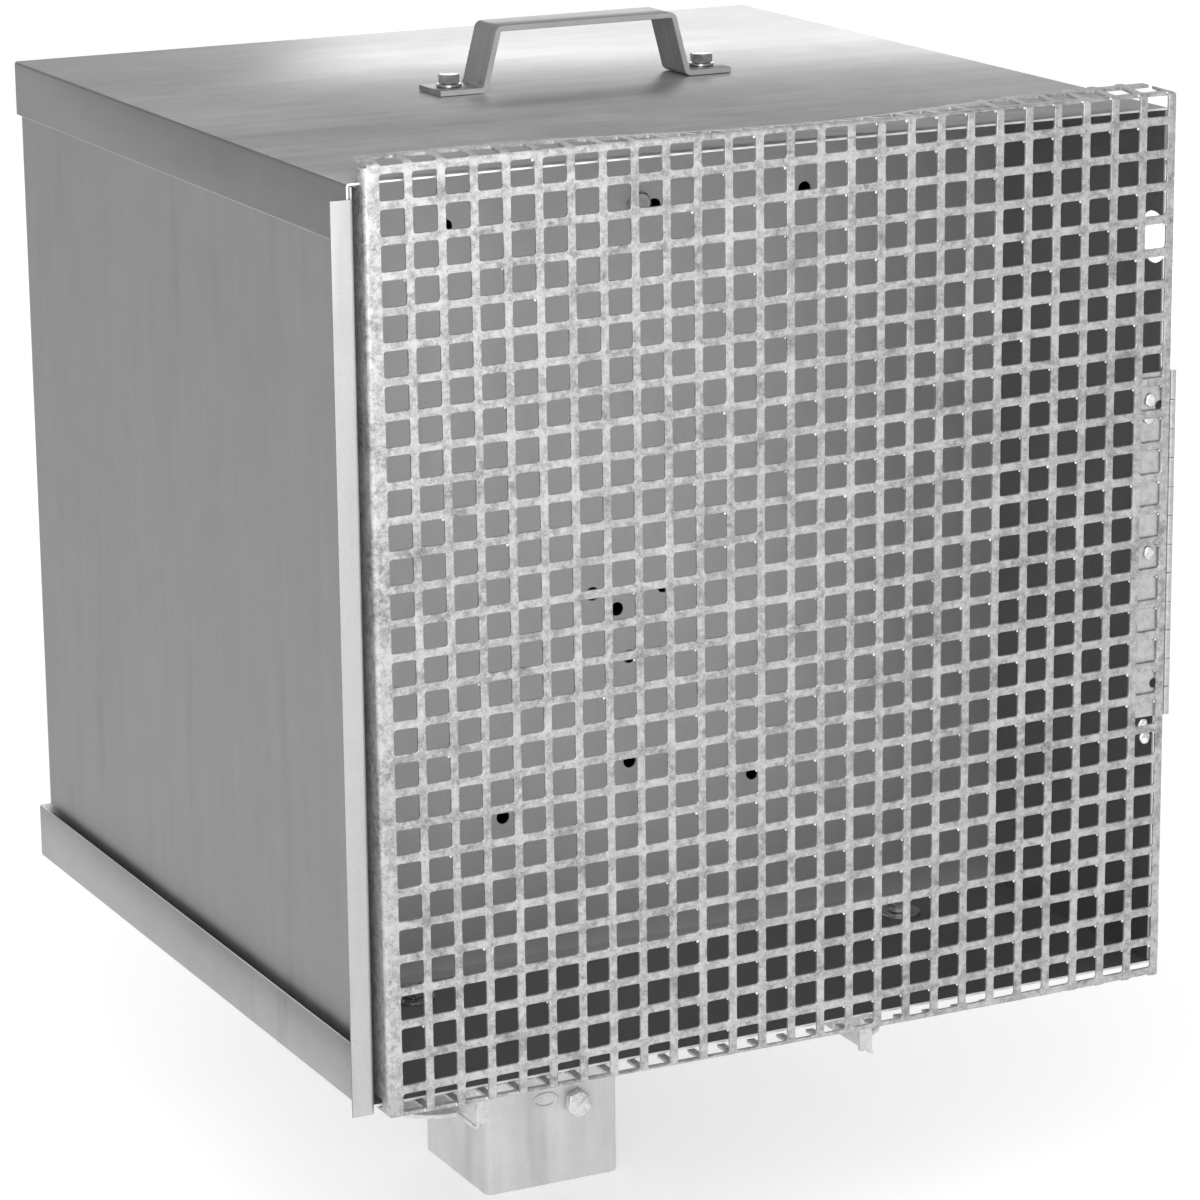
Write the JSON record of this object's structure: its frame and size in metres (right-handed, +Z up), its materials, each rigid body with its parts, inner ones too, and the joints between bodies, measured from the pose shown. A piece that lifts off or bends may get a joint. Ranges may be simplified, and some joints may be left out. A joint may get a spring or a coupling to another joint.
{
  "type": "kennel cage",
  "caption": "Galvanised sheet-steel cage with a hinged perforated door, a carrying handle and a square post stub underneath.",
  "frame": {"origin": "centre of the post stub's lower end, where a post or ground sleeve takes the cage", "axes": "+Z up along the post stub, +Y from the door into the box, +X to the hinge side"},
  "size_m": [0.5567, 0.553, 0.7983],
  "materials": {
    "galvanised_sheet": "galvanised sheet steel, satin grey with cloudy streaks",
    "perforated_sheet": "hot-dip galvanised perforated sheet, pale mottled zinc",
    "dipped_steel": "hot-dip galvanised steel, pale grey",
    "hinge_steel": "zinc-plated hinge steel",
    "handle_bar": "galvanised flat bar, darker grey with bright edges",
    "zinc_hardware": "bright zinc-plated fasteners"
  },
  "bodies": {
    "cage": {"back_panel": "galvanised_sheet", "bearer_bolt_left_front": "zinc_hardware", "bearer_bolt_left_rear": "zinc_hardware", "bearer_bolt_right_front": "zinc_hardware", "bearer_bolt_right_rear": "zinc_hardware", "bearer_nut_left_front": "zinc_hardware", "bearer_nut_left_rear": "zinc_hardware", "bearer_nut_right_front": "zinc_hardware", "bearer_nut_right_rear": "zinc_hardware", "bearer_washer_left_front": "zinc_hardware", "bearer_washer_left_rear": "zinc_hardware", "bearer_washer_right_front": "zinc_hardware", "bearer_washer_right_rear": "zinc_hardware", "carry_handle": "handle_bar", "corner_bolt": "zinc_hardware", "corner_nut": "zinc_hardware", "handle_bolt_left": "zinc_hardware", "handle_bolt_right": "zinc_hardware", "handle_nut_left": "zinc_hardware", "handle_nut_right": "zinc_hardware", "handle_washer_left": "zinc_hardware", "handle_washer_right": "zinc_hardware", "hinge_box_leaf": "hinge_steel", "hinge_pin": "hinge_steel", "hinge_rivet_1": "hinge_steel", "hinge_rivet_2": "hinge_steel", "hinge_rivet_3": "hinge_steel", "left_bearer": "dipped_steel", "left_side_panel": "galvanised_sheet", "lid_sheet": "galvanised_sheet", "partition_bolt": "zinc_hardware", "partition_nut": "zinc_hardware", "partition_panel": "galvanised_sheet", "post_bolt_left_front": "zinc_hardware", "post_bolt_left_rear": "zinc_hardware", "post_bolt_right_front": "zinc_hardware", "post_bolt_right_rear": "zinc_hardware", "post_clamp_bolt": "zinc_hardware", "post_clamp_nut": "zinc_hardware", "post_nut_left_front": "zinc_hardware", "post_nut_left_rear": "zinc_hardware", "post_nut_right_front": "zinc_hardware", "post_nut_right_rear": "zinc_hardware", "post_top_plate": "dipped_steel", "post_tube": "dipped_steel", "right_bearer": "dipped_steel", "right_side_panel": "galvanised_sheet", "tray_sheet": "galvanised_sheet"},
    "door": {"door_bottom_flange": "perforated_sheet", "door_face": "perforated_sheet", "door_left_flange": "perforated_sheet", "door_top_flange": "perforated_sheet", "hinge_door_leaf": "hinge_steel"}
  },
  "joints": [
    {"name": "door_hinge", "type": "hinge", "parent": "cage", "child": "door", "pos_m": [0.2683, -0.377, 0.488], "axis": [0, 0, 1], "range_deg": [0, 210]}
  ]
}
